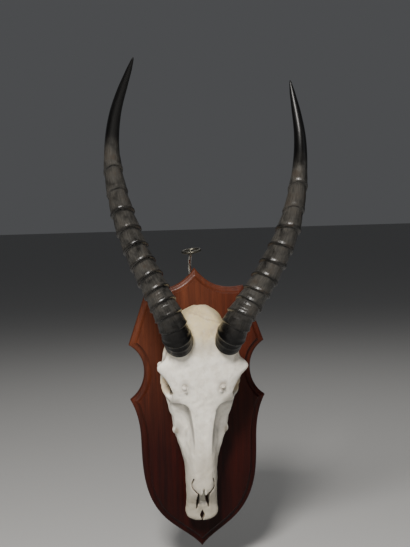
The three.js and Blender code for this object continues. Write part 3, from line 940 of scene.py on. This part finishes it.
def skullPlace():
    turn = Matrix.Rotation(math.radians(-skull["tilt"]), 4, "X")
    return Matrix.Translation(skull["offset"]) @ turn


# The bony base under a horn, which ends flat inside the sheath
def hornStub(grid, horn):
    below = 24
    above = 5
    back = np.array(skullPlace().inverted())
    ends = smoothCurve(horn["route"], np.array([0.0, 1e-3]))
    foot = np.array(horn["route"][0], float)
    along = unit(ends[1] - ends[0])
    line = np.array([foot - below * along, foot + above * along])
    line = line @ back[:3, :3].T + back[:3, 3]
    route = np.array([(x, z, -y) for x, y, z in line])
    wide = horns["baseHalfWidth"]
    stub = bar(grid, route, [wide, wide * 0.94])
    up = unit(route[1] - route[0])
    past = sum((axis - middle) * part for axis, middle, part in zip(grid, route[1], up))
    return merged(-stub, -past, 2.0, -1)


# The skull as a field of distances, less than 0 in the bone: the right half, mirrored, then
# what differs from side to side
def skullField(x, s, v):
    half = x[x >= -1e-6]
    mirroredCount = len(x) - len(half)
    print("skull grid", len(x), len(s), len(v))
    grid = sparseGrid(half, s, v)
    solid = faceAndBraincase(half, s, v) + faceHollow(grid)
    nasalTip = bar(grid, [(5.5, 68, 56), (5.4, 54, 52.5), (3.5, 43.8, 49)], [5.5, 5, 2.2], 0.5)
    solid = merged(solid, nasalTip, 3.0)
    for shape, width in grownParts(grid):
        solid = merged(solid, shape, width)
    for shape, width in hollowParts(grid):
        solid = carved(solid, shape, width)
    whole = np.concatenate([solid[::-1][:mirroredCount], solid])
    grid = sparseGrid(x, s, v)
    for side in ("left", "right"):
        whole = merged(whole, hornStub(grid, horns[side]), 7.0)
    return whole + unevenness(grid)


# A skin of quads round the inside of a field, with one point in each cell that its face crosses
def skinOfField(field, x, s, v):
    inside = field < 0
    corners = [(i, j, k) for i in (0, 1) for j in (0, 1) for k in (0, 1)]
    shape = tuple(n - 1 for n in field.shape)

    def atCorner(values, offset):
        i, j, k = offset
        return values[i:i + shape[0], j:j + shape[1], k:k + shape[2]]

    count = sum(atCorner(inside, offset).astype(np.int8) for offset in corners)
    active = np.argwhere((count > 0) & (count < 8))
    number = np.full(shape, -1, np.int64)
    number[tuple(active.T)] = np.arange(len(active))
    total = np.zeros((len(active), 3))
    hits = np.zeros(len(active))
    for a in corners:
        for axis in range(3):
            if a[axis] == 1:
                continue
            b = list(a)
            b[axis] = 1
            valueA = field[tuple((active + a).T)]
            valueB = field[tuple((active + b).T)]
            crosses = (valueA < 0) != (valueB < 0)
            part = np.where(crosses, valueA / np.where(crosses, valueA - valueB, 1), 0)
            spot = np.array(a, float)[None] + np.zeros((len(active), 3))
            spot[:, axis] = part
            total += spot * crosses[:, None]
            hits += crosses
    spots = active + total / hits[:, None]
    points = np.column_stack([
        np.interp(spots[:, n], np.arange(len(axis)), axis) for n, axis in enumerate((x, s, v))
    ])
    faces = []
    for axis in range(3):
        others = [n for n in range(3) if n != axis]
        low = [slice(None)] * 3
        high = [slice(None)] * 3
        low[axis] = slice(0, -1)
        high[axis] = slice(1, None)
        first = inside[tuple(low)]
        second = inside[tuple(high)]
        edges = np.argwhere(first != second)
        keep = np.ones(len(edges), bool)
        for n in others:
            keep &= (edges[:, n] > 0) & (edges[:, n] < field.shape[n] - 1)
        edges = edges[keep]
        cellsAround = []
        for step in ((0, 0), (1, 0), (1, 1), (0, 1)):
            cellSpot = edges.copy()
            cellSpot[:, others[0]] -= step[0]
            cellSpot[:, others[1]] -= step[1]
            cellsAround.append(number[tuple(cellSpot.T)])
        quad = np.stack(cellsAround, axis=1)
        turned = first[tuple(edges.T)] ^ (axis == 1)
        quad[turned] = quad[turned][:, ::-1]
        faces.append(quad)
    return points, np.vstack(faces)


# The field's values at any points
def sampled(field, points, x, s, v):
    spot = np.column_stack([
        np.interp(points[:, n], axis, np.arange(len(axis))) for n, axis in enumerate((x, s, v))
    ])
    low = np.clip(spot.astype(int), 0, np.array(field.shape) - 2)
    part = np.clip(spot - low, 0, 1)
    total = np.zeros(len(points))
    for i in (0, 1):
        for j in (0, 1):
            for k in (0, 1):
                weight = (
                    np.abs(1 - i - part[:, 0]) * np.abs(1 - j - part[:, 1]) * np.abs(1 - k - part[:, 2])
                )
                total += weight * field[low[:, 0] + i, low[:, 1] + j, low[:, 2] + k]
    return total


# How near other bone is in front of each point of the skin: 0 in the open, 1 when it is shut in
def shelterWithin(field, grid, points, outwards, reach, depth):
    return 1 - np.clip(sampled(field, points + outwards * reach, *grid) / depth, 0, 1)


# A narrow band inside the edge of the face hollow, painted as shadow
def hollowRimShadow(points):
    x, s, v = points.T
    edge = np.interp(s, skull["hollowEdge"][0], skull["hollowEdge"][1])
    inwards = np.minimum(np.abs(x) - edge, skull["hollowTop"] + 0.7 - s)
    rimShadow = ease(inwards, -0.4, 0.8) * (1 - ease(inwards, 1.4, 8.0))
    return rimShadow * (ease(s, 92, 140) * ease(v, 50, 62))


def buildSkull():
    grid = skullGrid()
    field = skullField(*grid)
    points, faces = skinOfField(field, *grid)
    slope = np.stack([
        sampled(field, points + step, *grid) - sampled(field, points - step, *grid)
        for step in np.eye(3) * 1.5
    ], axis=1)
    outwards = unit(slope)
    turn = np.array(skullPlace())
    placed = np.column_stack([points[:, 0], -points[:, 2], points[:, 1]])
    placed = placed @ turn[:3, :3].T + turn[:3, 3]
    piece = makePiece("whole_skull", placed, faces[:, ::-1].tolist())
    # Painted shade: these measures darken the bone's colour where other bone is near
    for name, reach, depth in (("nearShade", 7, 6), ("wideShade", 13, 12), ("creviceShade", 3, 3)):
        addAttribute(piece, name, shelterWithin(field, grid, points, outwards, reach, depth))
    addAttribute(piece, "rimShadow", hollowRimShadow(points))
    for name, values in zip(("across", "along", "height"), points.T):
        addAttribute(piece, name, values)
    return piece


def seam(offset, halfWidth):
    return offset.size().ease(halfWidth * 0.4, halfWidth, 1.0, 0.0)


# The seam down the forehead and the nose, and the one over the crown
def boneSeams(across, along, height, mottle, fine):
    zigzag = (along * 0.9).sine() * 0.5
    middle = seam(across + zigzag + (fine - 0.5) * 1.5, 0.45)
    middle = middle * along.ease(60.0, 80.0) * along.ease(258.0, 268.0, 1.0, 0.0) * height.ease(30.0, 50.0)
    crown = seam(along - 285.0 + across * 0.4 + (mottle - 0.5) * 9.0 + (fine - 0.5) * 3.0, 1.3)
    crown = crown * height.ease(70.0, 85.0)
    return (middle * 0.22).most(crown * 0.8)


def boneMaterial():
    material, shade = newMaterial("bleached_bone")
    spot = objectPlace(shade)
    across, along, height = (attribute(shade, name) for name in ("across", "along", "height"))
    broad = spot.noise(26.0, 3.0, 0.55)
    mottle = spot.noise(120.0, 4.0, 0.6)
    fine = spot.noise(700.0, 3.0, 0.6)
    streaks = spot.scaled((240.0, 240.0, 16.0)).noise(1.0, 4.0, 0.6, 0.5)
    pits = spot.cells(520.0).ease(0.0, 0.22, 1.0, 0.0) * mottle.ease(0.5, 0.65)
    seams = boneSeams(across, along, height, mottle, fine)

    crown = along.ease(226.0, 262.0)
    stains = crown * broad.ease(0.38, 0.66) * mottle.ease(0.3, 0.68)
    socket = (across.size() - 47.0) ** 2.0 + (along - 193.0) ** 2.0
    socket = socket.ease(60.0, 190.0, 1.0, 0.0) * height.ease(86.0, 94.0, 1.0, 0.0)
    # Painted light: the bar between the nose slots is painted light, and painted shade is left off it
    noseBarLight = along.ease(23.5, 30.0) * along.ease(44.0, 52.0, 1.0, 0.0)
    noseBarLight = noseBarLight * across.size().ease(3.0, 5.0, 1.0, 0.0)
    teeth = height.ease(8.0, 18.0, 1.0, 0.0) * along.ease(80.0, 84.0) * along.ease(162.0, 168.0, 1.0, 0.0)
    nearShade = attribute(shade, "nearShade") * (1.0 - noseBarLight)
    wideShade = attribute(shade, "wideShade") * (1.0 - noseBarLight)
    # Painted shade: the bone is painted darker towards the nose, with random warm tone on top
    noseShadeAndTone = (along.ease(0.0, 170.0, 0.85, 0.0) + broad.ease(0.45, 0.75) * 0.25).least(1.0)

    tints = {name: opaque(tint) for name, tint in skull["tints"].items()}
    base = noseShadeAndTone.mix(tints["bleached"], tints["nose"])
    layers = [
        ("crown", crown * 0.88),
        ("crownStains", stains * 0.8),
        ("mottled", mottle.ease(0.38, 0.75) * 0.4),
        ("socket", socket * (0.35 + mottle * 0.6)),
        ("noseBarLight", noseBarLight * 0.6),
        # Painted shade in the wide hollows
        ("shaded", wideShade.ease(0.08, 0.6) * 0.7),
        # Painted shadow along the inside of the face hollow's edge
        ("rimShadow", attribute(shade, "rimShadow") * 0.62),
        ("streaks", streaks.ease(0.5, 0.75) * 0.3),
        # Painted shade in recesses and crevices, this line and the next
        ("recessShade", nearShade.ease(0.12, 0.9) * 0.8),
        ("creviceShade", attribute(shade, "creviceShade").ease(0.1, 0.5) * 0.75),
        ("teeth", teeth * 0.5),
        ("seams", seams * 0.6),
        ("pits", pits * 0.4),
    ]
    for name, amount in layers:
        base = amount.mix(base, tints[name])
    relief = mottle * 0.35 + fine * 0.18 - pits * 0.4 - seams * 0.9 + broad * 0.5
    finishMaterial(shade, {
        "Base Color": base,
        "Roughness": 0.56 + mottle * 0.14,
        "Subsurface Weight": 0.06,
        "Subsurface Radius": (1.0, 0.7, 0.4),
        "Subsurface Scale": 0.002,
        "Normal": relief.bump(0.5, 0.0011),
    })
    return material


# Floor, lights and camera, in metres
studio = {
    "floorHalfSize": 60.0,
    "floorZ": -0.235,
    "floorTint": (0.42, 0.418, 0.41),
    "skyTint": (0.86, 0.88, 0.92),
    "skyStrength": 0.09,
    "lightsAim": (0.0, -0.09, 0.10),
    # Where each square light is, its side, its watts and its tint
    "lights": {
        "key": ((-0.42, -1.35, 1.05), 0.34, 50, (1.0, 0.97, 0.93)),
        "fill": ((1.9, -1.3, 0.5), 1.4, 3, (0.92, 0.96, 1.0)),
        "top": ((0.3, 1.2, 2.0), 1.6, 14, (1.0, 0.99, 0.97)),
    },
}
# The camera's angles in degrees, and its lens measured in pixels of the photo
view = {
    "azimuth": -6.5,
    "elevation": 3.0,
    "roll": 1.6,
    "distance": 1.420,
    "target": (0.016, 0.0, 0.189),
    "sensorWidth": 36.0,
    "focalPixels": 1000.0,
    "photoHeight": 547.0,
}


def buildFloor():
    size = studio["floorHalfSize"]
    sides = ((-size, -size), (size, -size), (size, size), (-size, size))
    corners = [(x, y, studio["floorZ"]) for x, y in sides]
    mesh = bpy.data.meshes.new("floor")
    mesh.from_pydata(corners, [], [(0, 1, 2, 3)])
    floor = bpy.data.objects.new("floor", mesh)
    bpy.context.scene.collection.objects.link(floor)
    material, shade = newMaterial("floor_paint")
    finishMaterial(shade, {"Base Color": opaque(studio["floorTint"]), "Roughness": 0.9})
    floor.data.materials.append(material)
    print("made the floor")


def addLight(name, spot, side, power, tint):
    lamp = bpy.data.lights.new(name, "AREA")
    lamp.shape = "RECTANGLE"
    lamp.size = side
    lamp.size_y = side
    lamp.energy = power
    lamp.color = tint
    holder = bpy.data.objects.new(name, lamp)
    holder.location = spot
    holder.rotation_mode = "QUATERNION"
    aim = Vector(studio["lightsAim"]) - Vector(spot)
    holder.rotation_quaternion = aim.to_track_quat("-Z", "Y")
    bpy.context.scene.collection.objects.link(holder)


def buildLights():
    for name, settings in studio["lights"].items():
        addLight(name, *settings)
    world = bpy.data.worlds.new("studio")
    world.use_nodes = True
    world.node_tree.nodes.clear()
    shade = Shade(world.node_tree)
    inputs = {"Color": opaque(studio["skyTint"]), "Strength": studio["skyStrength"]}
    sky = shade.make("ShaderNodeBackground", None, inputs)
    shade.make("ShaderNodeOutputWorld", None, {"Surface": sky})
    bpy.context.scene.world = world
    print("made the lights")


def buildCamera():
    azimuth, elevation, roll = (math.radians(view[name]) for name in ("azimuth", "elevation", "roll"))
    back = Vector((
        math.sin(azimuth) * math.cos(elevation),
        -math.cos(azimuth) * math.cos(elevation),
        math.sin(elevation),
    ))
    right = Vector((math.cos(azimuth), math.sin(azimuth), 0.0))
    up = back.cross(right)
    rolledRight = right * math.cos(roll) - up * math.sin(roll)
    rolledUp = right * math.sin(roll) + up * math.cos(roll)
    turn = Matrix((rolledRight, rolledUp, back)).transposed()
    lens = bpy.data.cameras.new("camera")
    lens.sensor_fit = "AUTO"
    lens.sensor_width = view["sensorWidth"]
    lens.lens = view["sensorWidth"] * view["focalPixels"] / view["photoHeight"]
    camera = bpy.data.objects.new("camera", lens)
    camera.matrix_world = Matrix.Translation(Vector(view["target"]) + back * view["distance"]) @ turn.to_4x4()
    bpy.context.scene.collection.objects.link(camera)
    bpy.context.scene.camera = camera
    print("made the camera")


place(buildShield(), woodMaterial(), "plaque", "shield_wood")
place(buildEye(), wireMaterial(), "hanging_eye", "plated_wire")
horn = hornMaterial()
place(buildHorn("left_sheath", horns["left"]), horn, "horn_left", "horn_sheath")
place(buildHorn("right_sheath", horns["right"]), horn, "horn_right", "horn_sheath")
place(buildSkull(), boneMaterial(), "skull", "bleached_bone")
buildFloor()
buildLights()
buildCamera()
